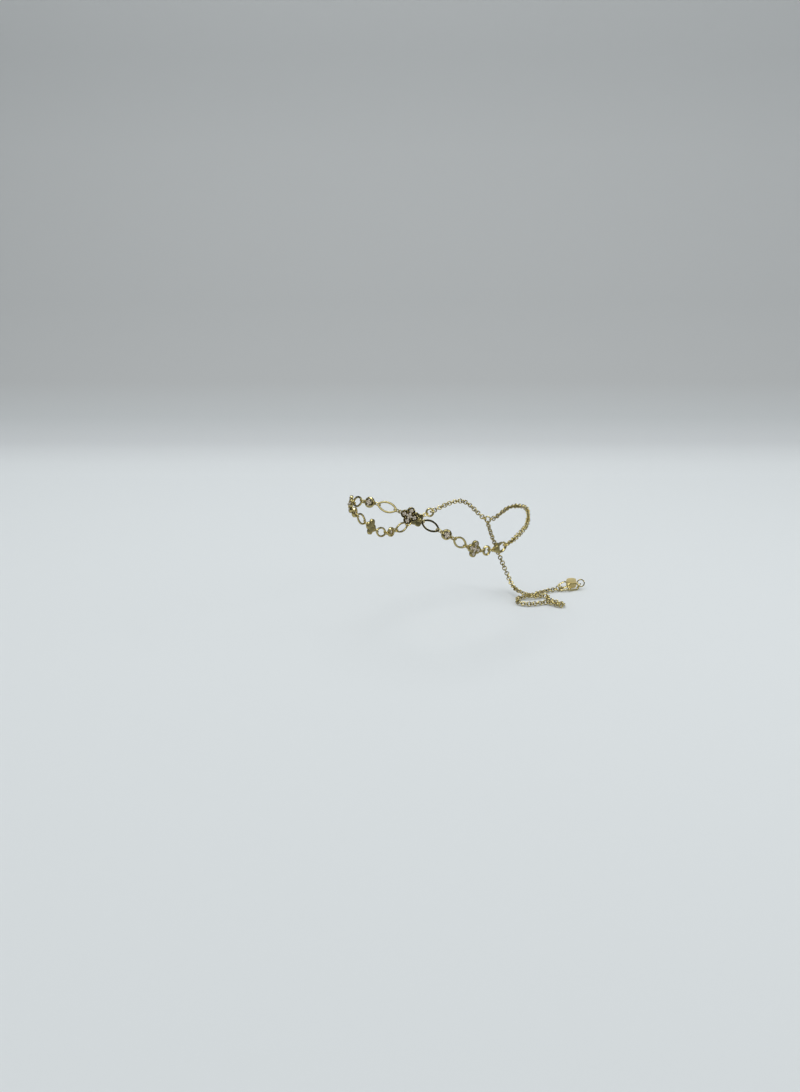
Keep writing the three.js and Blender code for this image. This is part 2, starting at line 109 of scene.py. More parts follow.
SEAT = {"beside": 0.06, "below": 0.09, "taper": 0.2, "above": 1.0}
ROW_SIDE = ["marquise", "bezel", "marquise", "clover", "marquise", "bezel", "marquise", "clover"]

# The rings, the clasp, the fine chain and the pieces at the loose end, in mm. An end ring's hold is
# on the row's side and its reach on the other.
END_RING = {"radius": 1.85, "wire": 0.45, "depth": 0.66, "hold": 1.13, "reach": 1.12}
JUMP_RING = {"radius": 1.4, "wire": 0.25}
CHAIN_RING = {"radius": 1.0, "wire": 0.22}
BACK_RING = {"radius": 1.45, "wire": 0.35}
TAIL_RING = {"radius": 1.4, "wire": 0.25}
TAG_RING = {"radius": 1.75, "wire": 0.28}
TAG_LINK = {"radius": 1.42, "wire": 0.2, "turn": math.radians(50), "forward": 0.87}
CLASP = {"depth": 1.75, "edge": 0.24, "corner": 0.6, "hold": 7.37}
CLASP_EYELET = {"radius": 0.7, "wire": 0.29}
CLASP_BASE = [
    (0.62, -0.5), (1.29, -1.5), (2.45, -2.0), (3.7, -2.3), (3.85, -1.2), (3.63, 1.5), (1.75, 1.55),
    (0.62, 0.5),
]
CLASP_SLOT = {"depth": 1.24, "edge": 0.02}
CLASP_SLOT_OUTLINE = [(1.4, 0.18), (5.4, 0.18), (5.4, 3.9), (1.4, 3.9)]
# The hook is an arc of an ellipse, from start to end in half turns. Its wire thins from root to tip,
# and the tip's shares close its last sections.
HOOK = {"x": 5.38, "length": 3.04, "height": 2.05, "wire": 0.6, "start": -0.78, "end": 0.39}
HOOK_WIRE = {"sides": 20, "squareness": 2.3, "root": 1.12, "thinning": 0.4}
HOOK_TIP = (0.97, 0.88, 0.7, 0.35)
PIN = {"radius": 0.34, "proud": 0.2}
LEVER = {"pivot": (2.75, 1.11, 0), "hole": 0.47, "depth": 0.94, "edge": 0.18, "corner": 0.36}
LEVER_OUTLINE = [
    (2.05, 0.73), (3.22, 0.53), (6.03, 1.52), (6.08, 2.34), (3.63, 2.05), (2.69, 2.75), (1.75, 2.69),
    (1.7, 1.87),
]
# A link leans by half a right angle. The lean sways by a share of itself along a sine, by sway_step
# radians a link, and grows from nothing over the settling share at each end of its chain.
LINK = {"radius": 0.98, "wire": 0.26, "sway": 0.26, "sway_step": 2.1, "settling": 1 / 8}
END_LINK = {"length": 6.4, "width": 3.8, "wire": 0.35}
TAG = {"size": 5.2, "depth": 0.7, "bulge": 0.42, "edge": 0.16, "corner": 0.2, "dome": 0.2}
TAG_EYELET = {"radius": 0.62, "wire": 0.22, "x": 2.95}
# Where the chain lies, its middle is this far above the floor.
LYING_HEIGHT = 1.15
LYING = FLOOR + LYING_HEIGHT
TAIL_ROUTE = [
    (-7.7, 48.9, -9.7), (-7.3, 51.6, -16.0), (-6.0, 54.2, -23.0), (-3.6, 55.8, -30.0),
    (0.2, 55.2, -35.6), (4.8, 52.8, -39.2), (9.4, 50.2, -40.2), (13.0, 49.6, -40.6),
    (16.2, 51.2, -41.7), (18.2, 54.4, LYING), (19.8, 57.6, LYING), (22.2, 58.2, LYING),
    (23.6, 55.6, LYING), (26.4, 53.9, LYING), (30.4, 53.7, LYING), (33.8, 53.4, LYING),
    (34.9, 51.6, LYING), (33.2, 50.4, LYING), (29.6, 51.0, LYING), (26.4, 50.2, LYING),
    (24.6, 47.4, LYING), (23.0, 44.4, LYING), (20.4, 42.0, LYING), (17.0, 41.6, LYING),
    (14.2, 43.6, LYING), (13.0, 47.2, LYING), (13.6, 51.2, LYING), (15.2, 55.2, LYING),
    (15.9, 59.6, LYING), (17.0, 64.8, LYING), (19.1, 69.1, LYING),
]
# Middle, heading from +X in degrees, rise of the far end, and lean from lying flat.
END_PLACES = {
    "tail_ring": ((20.2, 70.8, -42.22), 57, 0, 90),
    "end_link_1": ((22.2, 73.3, -42.72), 48, 5, 8),
    "end_link_2": ((24.8, 76.85, -42.13), 60, 0, 62),
    "end_link_3": ((20.9, 73.8, -41.35), 76, 12, 30),
    "tag": ((22.5, 78.45, -41.1), 40, 0, 74),
}


# Materials. Their patterns are in object space, so one carries on from piece to piece. A grain is
# in features to a metre, and a depth in metres.
TONE_GRAIN = 420.0
GLOSS_GRAIN = 1500.0
POLISH_GRAIN = 2500.0
SCRATCH_GRAIN = 2600.0
SCRATCH_STRETCH = (1.0, 1.0, 0.12)
SCRATCH_DEPTH = 0.00002
FINE_GRAIN = 9000.0
FINE_DEPTH = 0.00001
WHITE = (1.0, 1.0, 1.0)
# Painted shade: the metal's colour darkens in its recesses, where other metal lies within the reach,
# in metres.
PAINTED_SHADE_IN_RECESSES = {"reach": 0.0009, "shade": (0.24, 0.20, 0.13)}


def new_material(name):
    material = bpy.data.materials.new(name)
    material.use_nodes = True
    tree = material.node_tree
    return material, tree, tree.nodes["Principled BSDF"]


def noise(tree, scale, detail=3.0, stretch=None):
    """A noise texture in object space. Scale is in features to a metre."""
    coordinates = tree.nodes.new("ShaderNodeTexCoord").outputs["Object"]
    texture = tree.nodes.new("ShaderNodeTexNoise")
    texture.inputs["Scale"].default_value = scale
    texture.inputs["Detail"].default_value = detail
    if stretch:
        mapping = tree.nodes.new("ShaderNodeMapping")
        mapping.inputs["Scale"].default_value = stretch
        tree.links.new(coordinates, mapping.inputs["Vector"])
        coordinates = mapping.outputs["Vector"]
    tree.links.new(coordinates, texture.inputs["Vector"])
    return texture.outputs["Fac"]


def ramp(tree, factor, stops):
    """A colour ramp. Each stop is a position and a colour."""
    node = tree.nodes.new("ShaderNodeValToRGB")
    elements = node.color_ramp.elements
    for element, (position, color) in zip(elements, (stops[0], stops[-1])):
        element.position = position
        element.color = (*color, 1)
    for position, color in stops[1:-1]:
        elements.new(position).color = (*color, 1)
    tree.links.new(factor, node.inputs["Fac"])
    return node.outputs["Color"]


def mapped(tree, factor, low, high):
    """The middle of a noise's range, spread from low to high."""
    node = tree.nodes.new("ShaderNodeMapRange")
    node.inputs["From Min"].default_value = 0.3
    node.inputs["From Max"].default_value = 0.7
    node.inputs["To Min"].default_value = low
    node.inputs["To Max"].default_value = high
    tree.links.new(factor, node.inputs["Value"])
    return node.outputs["Result"]


def bump(tree, height, strength, distance, before=None):
    node = tree.nodes.new("ShaderNodeBump")
    node.inputs["Strength"].default_value = strength
    node.inputs["Distance"].default_value = distance
    tree.links.new(height, node.inputs["Height"])
    if before:
        tree.links.new(before, node.inputs["Normal"])
    return node.outputs["Normal"]


def add_painted_recess_shade(tree, color, reach, shade):
    """The colour with painted shade in its recesses. Reach is how far away, in metres, metal still
    shades it.
    """
    node = tree.nodes.new("ShaderNodeAmbientOcclusion")
    node.samples = 6
    node.only_local = True
    node.inputs["Distance"].default_value = reach
    openness = ramp(tree, node.outputs["AO"], [(0.3, shade), (0.85, WHITE)])
    mix = tree.nodes.new("ShaderNodeVectorMath")
    mix.operation = "MULTIPLY"
    tree.links.new(color, mix.inputs[0])
    tree.links.new(openness, mix.inputs[1])
    return mix.outputs["Vector"]


def metal(name, colors, metallic, roughness, scratches, grain):
    """Gold with patches of slightly different tone and gloss, painted shade in its recesses, fine
    scratches and a soft grain.
    """
    material, tree, shader = new_material(name)
    shader.inputs["Metallic"].default_value = metallic
    tone = ramp(tree, noise(tree, TONE_GRAIN), list(zip((0.3, 0.52, 0.72), colors)))
    tree.links.new(add_painted_recess_shade(tree, tone, **PAINTED_SHADE_IN_RECESSES), shader.inputs["Base Color"])
    gloss = mapped(tree, noise(tree, GLOSS_GRAIN, 4.0), *roughness)
    tree.links.new(gloss, shader.inputs["Roughness"])
    lines = bump(tree, noise(tree, SCRATCH_GRAIN, 6.0, SCRATCH_STRETCH), scratches, SCRATCH_DEPTH)
    surface = bump(tree, noise(tree, FINE_GRAIN, 2.0), grain, FINE_DEPTH, lines)
    tree.links.new(surface, shader.inputs["Normal"])
    return material


def gem(name, colors, transmission, ior, roughness):
    """Clear cut stone with a painted highlight or painted dark reflection on each facet, and a trace
    of polish marks.
    """
    material, tree, shader = new_material(name)
    shader.inputs["Transmission Weight"].default_value = transmission
    shader.inputs["IOR"].default_value = ior
    facet = tree.nodes.new("ShaderNodeAttribute")
    facet.attribute_name = "facet"
    painted_glint_color = ramp(tree, facet.outputs["Fac"], colors)
    tree.links.new(painted_glint_color, shader.inputs["Base Color"])
    gloss = mapped(tree, noise(tree, POLISH_GRAIN, 2.0), *roughness)
    tree.links.new(gloss, shader.inputs["Roughness"])
    return material


GOLD = metal(
    "polished_gold",
    [(0.80, 0.67, 0.28), (0.87, 0.75, 0.34), (0.91, 0.81, 0.42)],
    metallic=1.0,
    roughness=(0.07, 0.15),
    scratches=0.10,
    grain=0.05,
)
SATIN = metal(
    "satin_gold",
    [(0.86, 0.72, 0.34), (0.92, 0.78, 0.40), (0.96, 0.83, 0.47)],
    metallic=0.3,
    roughness=(0.38, 0.50),
    scratches=0.30,
    grain=0.40,
)
# The stone's colour runs from a painted dark reflection to a painted highlight, by each facet's tone.
STONE = gem(
    "clear_stone",
    [(0.12, (0.05, 0.03, 0.01)), (0.42, (0.50, 0.36, 0.20)), (0.8, (1.0, 0.92, 0.78))],
    transmission=0.2,
    ior=1.9,
    roughness=(0.01, 0.05),
)


# Shapes. Each is a list of points in mm and a list of faces.
MERGE = 1e-4


def wire_section(half_width, half_depth, sides, squareness=2.0):
    """A wire's cross-section: round at squareness 2, and flatter faced above it."""
    turn = np.arange(sides) * 2 * np.pi / sides
    level, rise = np.cos(turn), np.sin(turn)
    power = 2 / squareness
    return np.column_stack(
        [
            half_width * np.sign(level) * np.abs(level) ** power,
            half_depth * np.sign(rise) * np.abs(rise) ** power,
        ]
    )


def sweep(path, section, closed=True, scales=None):
    """A wire along a flat path in x and y. Scales thin it towards its ends."""
    path = np.array(path, float)
    if closed:
        tangent = np.roll(path, -1, 0) - np.roll(path, 1, 0)
    else:
        tangent = np.gradient(path, axis=0)
    tangent /= np.linalg.norm(tangent, axis=1)[:, None]
    side = np.column_stack([tangent[:, 1], -tangent[:, 0]])
    scales = np.ones(len(path)) if scales is None else np.array(scales)
    points = []
    for at, across, scale in zip(path, side, scales):
        for width, depth in section * scale:
            points.append((*(at + across * width), depth))
    count, around = len(path), len(section)
    faces = []
    for i in range(count if closed else count - 1):
        for j in range(around):
            k, m = (i + 1) % count, (j + 1) % around
            faces.append((i * around + j, i * around + m, k * around + m, k * around + j))
    if not closed:
        faces.append(tuple(range(around)))
        faces.append(tuple((count - 1) * around + j for j in range(around)))
    return points, faces


def ring(radius, wire, around=40, sides=14, depth=None):
    """A ring in x and y. Depth is half its thickness along z, where that isn't the wire's."""
    turn = np.arange(around) * 2 * np.pi / around
    path = np.column_stack([radius * np.cos(turn), radius * np.sin(turn)])
    return sweep(path, wire_section(wire, depth or wire, sides))


def arc(centre, radius, start, end, steps):
    """Points of an arc, without its last one."""
    turn = start + (end - start) * np.arange(steps) / steps
    return np.column_stack([centre[0] + radius * np.cos(turn), centre[1] + radius * np.sin(turn)])


def oval_path(length, width, wire, end_steps=16, side_steps=6):
    end = width / 2 - wire
    middle = length / 2 - wire - end
    run = np.linspace(middle, -middle, side_steps, endpoint=False)
    quarter = math.pi / 2
    return np.vstack(
        [
            arc((middle, 0), end, -quarter, quarter, end_steps),
            np.column_stack([run, np.full(side_steps, end)]),
            arc((-middle, 0), end, quarter, 3 * quarter, end_steps),
            np.column_stack([-run, np.full(side_steps, -end)]),
        ]
    )


def almond_path():
    half_length = ALMOND["length"] / 2 - ALMOND["wire"]
    half_width = ALMOND["width"] / 2 - ALMOND["wire"]
    tip = ALMOND["tip"]
    tip_x = half_length - tip
    side_radius = (tip_x**2 + half_width**2 - tip**2) / (2 * (half_width - tip))
    side_y = side_radius - half_width
    turn = math.atan2(side_y, tip_x)
    return np.vstack(
        [
            arc((tip_x, 0), tip, -turn, turn, 16),
            arc((0, -side_y), side_radius, turn, math.pi - turn, 34),
            arc((-tip_x, 0), tip, math.pi - turn, math.pi + turn, 16),
            arc((0, side_y), side_radius, math.pi + turn, 2 * math.pi - turn, 34),
        ]
    )


def rounded(corners, radius, steps=4):
    """A closed outline with a small curve at each corner, which takes less than half a side."""
    corners = np.array(corners, float)
    points = []
    for i, corner in enumerate(corners):
        before = corners[i - 1] - corner
        after = corners[(i + 1) % len(corners)] - corner
        cut = min(radius, np.linalg.norm(before) / 2.2, np.linalg.norm(after) / 2.2)
        start = corner + before / np.linalg.norm(before) * cut
        end = corner + after / np.linalg.norm(after) * cut
        for share in np.linspace(0, 1, steps + 1):
            points.append((1 - share) ** 2 * start + 2 * share * (1 - share) * corner + share**2 * end)
    return np.array(points)


def turned(profile, sides=48):
    """A shape turned about z from a closed outline of radius and height."""
    around = len(profile)
    points = []
    for turn in np.arange(sides) * 2 * np.pi / sides:
        for radius, height in profile:
            points.append((radius * math.cos(turn), radius * math.sin(turn), height))
    faces = []
    for i in range(sides):
        for j in range(around):
            k, m = (i + 1) % sides, (j + 1) % around
            faces.append((i * around + j, k * around + j, k * around + m, i * around + m))
    return points, faces


def bead(radius, height, centre, sides=14, steps=7):
    """A small dome-ended bead that stands along z."""
    turn = np.linspace(-math.pi / 2, math.pi / 2, steps)
    profile = [(radius * math.cos(t), height / 2 * math.sin(t)) for t in turn]
    return moved(turned(profile, sides), centre)


def disc(radius, half_depth, edge, sides):
    """A flat round body with rounded rims."""
    rim = [(radius - edge * (1 - math.sin(t)), half_depth - edge * (1 - math.cos(t)))
           for t in np.linspace(math.pi / 2, 0, 5)]
    low = [(reach, -height) for reach, height in reversed(rim)]
    return turned([(0.0, -half_depth), *low, *rim, (0.0, half_depth)], sides)


def plate(outline, depth, edge, steps=4, dome=0.0):
    """A plate from a flat outline, with rounded edges and, if asked, gently domed faces."""
    outline = np.array(outline, float)
    centre = outline.mean(0)
    tangent = np.roll(outline, -1, 0) - np.roll(outline, 1, 0)
    tangent /= np.linalg.norm(tangent, axis=1)[:, None]
    inward = np.column_stack([-tangent[:, 1], tangent[:, 0]])
    layers = []
    for turn in np.linspace(math.pi / 2, 0, steps + 1):
        inset = edge * (1 - math.cos(turn))
        layers.append((outline + inward * inset, depth / 2 - edge * (1 - math.sin(turn))))
    top = [(centre + (outline + inward * edge - centre) * share, depth / 2 + dome * (1 - share**2))
           for share in ((0.3, 0.6, 0.85) if dome else ())]
    rings = top + layers
    rings += [(ring_points, -height) for ring_points, height in reversed(rings)]
    around = len(outline)
    points = [(*point, height) for ring_points, height in rings for point in ring_points]
    faces = []
    for i in range(len(rings) - 1):
        for j in range(around):
            m = (j + 1) % around
            faces.append((i * around + j, i * around + m, (i + 1) * around + m, (i + 1) * around + j))
    last = (len(rings) - 1) * around
    faces.append(tuple(range(around)))
    faces.append(tuple(last + j for j in range(around)))
    return points, faces


def cut_stone(size, girdle_height, folds=8):
    """A round cut stone: table, star, kite and girdle facets above, and a pointed back."""
    def level(radius, height, count, offset):
        turns = (np.arange(count) + offset) * 2 * np.pi / count
        return [(radius * math.cos(t), radius * math.sin(t), height) for t in turns]

    crown = size["crown"]
    kite_radius = size["table"] + (size["girdle"] - size["table"]) * STONE_CUT["kite_out"]
    kite_height = girdle_height + crown * STONE_CUT["kite_up"]
    back_height = girdle_height - size["edge"] - size["pavilion"]
    low_radius = size["girdle"] * STONE_CUT["back_out"]
    low_height = girdle_height - size["edge"] - size["pavilion"] * STONE_CUT["back_down"]
    points = level(size["table"], girdle_height + crown, folds, 0)
    points += level(kite_radius, kite_height, folds, 0.5)
    points += level(size["girdle"], girdle_height, 2 * folds, 0)
    points += level(size["girdle"], girdle_height - size["edge"], 2 * folds, 0)
    points += level(low_radius, low_height, folds, 0.5)
    points.append((0, 0, back_height))
    points.append((0, 0, girdle_height + crown))
    kite, high, low = folds, 2 * folds, 4 * folds
    inner, tip, middle = 6 * folds, 7 * folds, 7 * folds + 1
    faces = []
    for i in range(folds):
        j, main = (i + 1) % folds, 2 * i
        half, after = main + 1, (main + 2) % (2 * folds)
        faces.append((i, j, middle))
        faces.append((i, kite + i, j))
        faces.append((i, kite + (i - 1) % folds, high + main, kite + i))
        faces.append((kite + i, high + main, high + half))
        faces.append((kite + i, high + half, high + after))
        faces.append((high + main, low + main, low + half, high + half))
        faces.append((high + half, low + half, low + after, high + after))
        faces.append((low + main, inner + i, low + half))
        faces.append((low + half, inner + i, low + after))
        faces.append((low + main, inner + (i - 1) % folds, tip, inner + i))
    return points, faces


# How light each facet of one fold is painted, from painted dark reflection to painted highlight,
# for an even and an odd fold: table, star, kite, the two halves at the girdle, its edge, and the
# back.
PAINTED_FACET_LIGHTS = (
    (1.0, 0.1, 0.85, 0.95, 0.2, 0.4, 0.4, 0.6, 0.2, 0.7),
    (0.3, 0.9, 0.15, 0.4, 1.0, 0.4, 0.4, 0.9, 0.5, 0.3),
)


def moved(shape, offset=(0, 0, 0), turn=None):
    """The shape, turned and then shifted."""
    points = np.array(shape[0], float)
    if turn is not None:
        points = points @ np.array(turn.to_3x3()).T
    return points + np.array(offset), shape[1]


def together(*shapes):
    """One shape from several that stay apart."""
    points, faces = [], []
    for some_points, some_faces in shapes:
        start = len(points)
        points.extend(tuple(p) for p in some_points)
        faces.extend(tuple(start + i for i in face) for face in some_faces)
    return points, faces


def clean_mesh(name, shape, scale=1.0):
    """A mesh of the shape, in which points closer than MERGE become one."""
    mesh = bpy.data.meshes.new(name)
    mesh.from_pydata([tuple(np.array(p) * scale) for p in shape[0]], [], shape[1])
    work = bmesh.new()
    work.from_mesh(mesh)
    bmesh.ops.remove_doubles(work, verts=work.verts, dist=MERGE * scale)
    bmesh.ops.recalc_face_normals(work, faces=work.faces)
    work.to_mesh(mesh)
    work.free()
    return mesh


def fused(first, *others, cut=()):
    """One closed body from overlapping ones, less the bodies in cut."""
    base = bpy.data.objects.new("fusing", clean_mesh("fusing", first))
    bpy.context.scene.collection.objects.link(base)
    tools = []
    for shape, operation in [(s, "UNION") for s in others] + [(s, "DIFFERENCE") for s in cut]:
        tool = bpy.data.objects.new("tool", clean_mesh("tool", shape))
        bpy.context.scene.collection.objects.link(tool)
        tools.append(tool)
        modifier = base.modifiers.new("join", "BOOLEAN")
        modifier.solver = "MANIFOLD"
        modifier.operation = operation
        modifier.object = tool
    graph = bpy.context.evaluated_depsgraph_get()
    mesh = base.evaluated_get(graph).to_mesh()
    shape = ([tuple(v.co) for v in mesh.vertices], [tuple(p.vertices) for p in mesh.polygons])
    for item in [base, *tools]:
        bpy.data.objects.remove(item)
    return shape


def add_piece(name, shape, material, nodes, body="anklet", sharp=38):
    """A piece in its place in mm. Sharp is the angle above which an edge stays crisp."""
    mesh = clean_mesh(name, shape, MM)
    # Each facet of a stone gets the tone of its painted highlight or painted dark reflection.
    if material is STONE:
        folds = len(mesh.polygons) // len(PAINTED_FACET_LIGHTS[0])
        facet_painted_lights = [tone for fold in range(folds) for tone in PAINTED_FACET_LIGHTS[fold % 2]]
        mesh.attributes.new("facet", "FLOAT", "FACE").data.foreach_set("value", facet_painted_lights)
    for face in mesh.polygons:
        face.use_smooth = sharp > 0
    if sharp > 0:
        mesh.set_sharp_from_angle(angle=math.radians(sharp))
    mesh.materials.append(material)
    piece = bpy.data.objects.new(name, mesh)
    bpy.context.scene.collection.objects.link(piece)
    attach(piece, body)
    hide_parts(*nodes)
    return piece


# The shapes of the pieces. x runs along the chain and z away from the ankle.
ACROSS = Matrix.Rotation(math.pi / 2, 4, "X")


def almond_frame():
    wide = ALMOND["wire"] * ALMOND_WIRE["wide"]
    deep = ALMOND["wire"] * ALMOND_WIRE["deep"]
    section = wire_section(wide, deep, ALMOND_WIRE["sides"], ALMOND_WIRE["squareness"])
    return sweep(almond_path(), section)


def connector_link():
    wire = CONNECTOR["wire"]
    path = oval_path(CONNECTOR["length"], CONNECTOR["width"], wire)
    return sweep(path, wire_section(wire, wire, 12))


def eyelets(size, hold):
    eyelet = ring(size["radius"], size["wire"], 28, 12)
    return [moved(eyelet, (side * hold, 0, 0)) for side in (-1, 1)]


def seat(stone, height):
    """The hollow that a stone sits in, a little wider and deeper than the stone."""
    foot = height - stone["edge"] - stone["pavilion"] - SEAT["below"]
    wide = stone["girdle"] + SEAT["beside"]
    top = height + SEAT["above"]
    return turned([(0.0, foot), (wide, height - SEAT["taper"]), (wide, top), (0.0, top)], 40)


def clover_setting():
    """Four round petals about a core, hollowed for the stones, with prongs between them."""
    top = CLOVER["depth"] / 2
    petal = disc(CLOVER["petal"], top, CLOVER["edge"], 56)
    parts = [disc(CLOVER["core"], CLOVER_CORE["depth"] / 2, CLOVER_CORE["edge"], 48)]
    hollows = [seat(MIDDLE_STONE, CLOVER_STONE_HEIGHT)]
    prongs = []
    for quarter in range(4):
        turn = Matrix.Rotation(quarter * math.pi / 2, 3, "Z")
        parts.append(moved(petal, turn @ Vector((CLOVER["offset"], 0, 0))))
        stone = Vector((PETAL_STONE_OFFSET, 0, 0))
        hollows.append(moved(seat(PETAL_STONE, CLOVER_STONE_HEIGHT), turn @ stone))
        prongs.append(bead(PRONG["radius"], PRONG["height"], turn @ Vector(PRONG["place"])))
        for side in (-1, 1):
            for along, across in SMALL_PRONG["places"]:
                place = turn @ Vector((along, side * across, SMALL_PRONG["rise"]))
                prongs.append(bead(SMALL_PRONG["radius"], SMALL_PRONG["height"], place))
    body = fused(*parts, cut=hollows)
    return fused(body, *prongs, *eyelets(CLOVER_EYELET, CLOVER["hold"]))


def clover_stones():
    stones = [cut_stone(MIDDLE_STONE, CLOVER_STONE_HEIGHT)]
    for quarter in range(4):
        turn = Matrix.Rotation(quarter * math.pi / 2, 3, "Z")
        place = turn @ Vector((PETAL_STONE_OFFSET, 0, 0))
        stones.append(moved(cut_stone(PETAL_STONE, CLOVER_STONE_HEIGHT), place, turn))
    return together(*stones)


def round_bezel():
    """A wall open at the back. Its lip laps over the stone, which sits in the groove below."""
    top = BEZEL["depth"] / 2
    outer = BEZEL["outer"]
    hole = BEZEL["hole"]
    lip = ROUND_STONE["girdle"] - BEZEL["lap"]
    room = ROUND_STONE["girdle"] + SEAT["beside"]
    profile = rounded(
        [
            (hole, -top), (outer - BEZEL["edge"], -top), (outer, -top + 0.3), (outer, top - 0.4),
            (lip + 0.25, top + 0.02), (lip, top), (lip, top - 0.25), (room, top - 0.42),
            (room, top - 0.66), (hole, top - 1.0),
        ],
        BEZEL["edge"],
    )
    return fused(turned(profile, 64), *eyelets(BEZEL_EYELET, BEZEL["hold"]))


def clasp_body():
    """Eyelet, a base with two cheeks and a riveted pin, and a tapering hook."""
    base = plate(rounded(CLASP_BASE, CLASP["corner"]), CLASP["depth"], CLASP["edge"])
    slot = plate(CLASP_SLOT_OUTLINE, CLASP_SLOT["depth"], CLASP_SLOT["edge"], 1)
    share = np.linspace(0, 1, 48)
    turn = math.pi * (HOOK["start"] + (HOOK["end"] - HOOK["start"]) * share)
    path = np.column_stack([HOOK["x"] + HOOK["length"] * np.cos(turn), HOOK["height"] * np.sin(turn)])
    taper = HOOK_WIRE["root"] - HOOK_WIRE["thinning"] * share
    taper[-len(HOOK_TIP):] *= HOOK_TIP
    section = wire_section(HOOK["wire"], HOOK["wire"], HOOK_WIRE["sides"], HOOK_WIRE["squareness"])
    hook = sweep(path, section, closed=False, scales=taper)
    pin = bead(PIN["radius"], CLASP["depth"] + PIN["proud"], LEVER["pivot"])
    eyelet = ring(CLASP_EYELET["radius"], CLASP_EYELET["wire"], 32, 12)
    return fused(fused(base, cut=[slot]), hook, pin, eyelet)


def clasp_lever():
    """A thumb piece behind its pin, and a tongue that closes the hook."""
    radius = LEVER["hole"]
    through = LEVER["depth"]
    hole = turned([(0.0, -through), (radius, -through), (radius, through), (0.0, through)], 24)
    body = plate(rounded(LEVER_OUTLINE, LEVER["corner"]), LEVER["depth"], LEVER["edge"])
    return fused(body, cut=[moved(hole, LEVER["pivot"])])


def bare_tag():
    """A square with softly bowed sides and a cushioned face, and an eyelet across its edge."""
    half = TAG["size"] / 2 - TAG["bulge"]
    bow = TAG["size"] / 2 + TAG["bulge"]
    corners = np.array([(-half, -half), (half, -half), (half, half), (-half, half)])
    controls = np.array([(0, -bow), (bow, 0), (0, bow), (-bow, 0)])
    outline = []
    for i, control in enumerate(controls):
        for share in np.linspace(0, 1, 12, endpoint=False):
            along = (1 - share) ** 2 * corners[i] + share**2 * corners[(i + 1) % 4]
            outline.append(along + 2 * share * (1 - share) * control)
    face = plate(rounded(outline, TAG["corner"], 1), TAG["depth"], TAG["edge"], dome=TAG["dome"])
    eyelet = ring(TAG_EYELET["radius"], TAG_EYELET["wire"], 28, 12)
    return fused(face, moved(eyelet, (TAG_EYELET["x"], 0, 0), ACROSS))


# The line of the loop and the walk along it from one holding point to the next.
def curve_points(stations, closed, samples):
    """A uniform Catmull-Rom curve of tension one half, as many samples to each span."""
    stations = np.array(stations, float)
    if closed:
        padded = np.vstack([stations[-1:], stations, stations[:2]])
    else:
        first, last = 2 * stations[0] - stations[1], 2 * stations[-1] - stations[-2]
        padded = np.vstack([first, stations, last])
    share = np.linspace(0, 1, samples, endpoint=False)[:, None]
    spans = []
    for p0, p1, p2, p3 in zip(padded, padded[1:], padded[2:], padded[3:]):
        t0, t1 = (p2 - p0) / 2, (p3 - p1) / 2
        spans.append(
            p1 + t0 * share + (3 * (p2 - p1) - 2 * t0 - t1) * share**2
            + (2 * (p1 - p2) + t0 + t1) * share**3
        )
    return np.vstack(spans) if closed else np.vstack(spans + [stations[-1:]])


def round_ankle(bearing, reach, rise):
    """The place of a station of the loop."""
    turn = math.radians(bearing)
    return reach * math.sin(turn), -reach * math.cos(turn), rise


loop_line = curve_points([round_ankle(*station) for station in LOOP_STATIONS], True, SPAN_SAMPLES)


def line_point(index):
    return loop_line[index % len(loop_line)]


def index_at_bearing(bearing):
    """The first point of the loop at or past a bearing."""
    turn = math.radians(bearing)
    side = np.array([math.cos(turn), math.sin(turn), 0])
    ahead = np.array([math.sin(turn), -math.cos(turn), 0])
    index = 0
    while line_point(index) @ side >= 0 or line_point(index) @ ahead <= 0:
        index += 1
    while line_point(index) @ side < 0:
        index += 1
    return index


def walk(start, distance, direction):
    """From an index and a point to the next point that far away in a straight line."""
    index, point = start
    after = index
    while np.linalg.norm(line_point(after) - point) < distance:
        after += direction
    near_point, far_point = line_point(after - direction), line_point(after)
    near = np.linalg.norm(near_point - point)
    far = np.linalg.norm(far_point - point)
    return after, near_point + (far_point - near_point) * (distance - near) / (far - near)


def frame_between(first, second):
    """Middle, and a turn whose columns run along the loop, up, and away from the ankle."""
    middle = (first + second) / 2
    along = (second - first) / np.linalg.norm(second - first)
    level = math.hypot(middle[0], middle[1])
    lean = INSTEP_LEAN * max(0, -middle[1] / level)
    outward = np.array([middle[0] / level, middle[1] / level, lean])
    outward -= (outward @ along) * along
    outward /= np.linalg.norm(outward)
    turn = Matrix(np.column_stack([along, np.cross(outward, along), outward]).tolist())
    return middle, turn


def set_along(shape, start, length, direction, roll=0.0):
    """Puts a shape between two holding points and gives it with the second one and its place."""
    end = walk(start, length, direction)
    first, second = (start[1], end[1]) if direction > 0 else (end[1], start[1])
    middle, turn = frame_between(first, second)
    return moved(shape, middle, turn @ Matrix.Rotation(roll, 3, "X")), end, (middle, turn)


# The row.
HOLDS = {"clover": CLOVER["hold"], "marquise": ALMOND["hold"], "bezel": BEZEL["hold"]}
SHAPES = {"clover": clover_setting(), "marquise": almond_frame(), "bezel": round_bezel()}
CONNECTOR_SHAPE = connector_link()
CLOVER_STONES = clover_stones()
BEZEL_STONE = cut_stone(ROUND_STONE, ROUND_STONE_HEIGHT)
counts = {"clover": 0, "marquise": 0, "bezel": 0, "connector": 0}


def add_stone(name, shape, node):
    add_piece(name, shape, STONE, [node], sharp=0)


